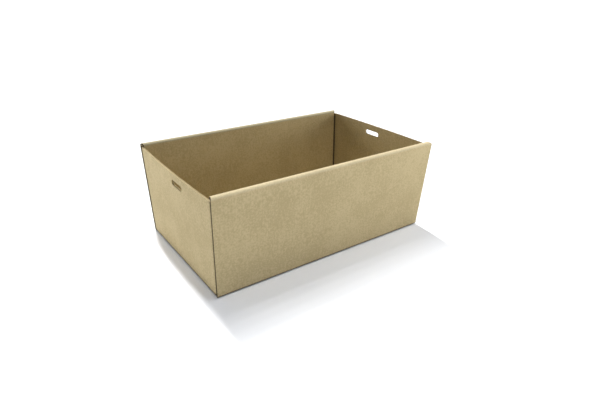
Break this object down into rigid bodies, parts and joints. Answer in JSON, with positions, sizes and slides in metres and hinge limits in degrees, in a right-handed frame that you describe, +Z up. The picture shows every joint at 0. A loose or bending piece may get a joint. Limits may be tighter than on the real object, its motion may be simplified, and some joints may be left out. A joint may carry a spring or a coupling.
{
  "type": "cardboard tray box",
  "caption": "Open rectangular tray folded from kraft micro-flute board, with rolled double long walls, single end walls and a small slot near the top of each end.",
  "frame": {"origin": "middle of the base, on its underside, where the tray rests", "axes": "+X along the long walls, +Y across the tray from the long wall seen in front to the one behind, +Z up through the open top"},
  "size_m": [0.21, 0.1332, 0.08],
  "materials": {
    "kraft_board": "matte uncoated brown kraft liner, lightly mottled with paper fibre"
  },
  "bodies": {
    "root": {"tray_box": "kraft_board"}
  },
  "joints": []
}
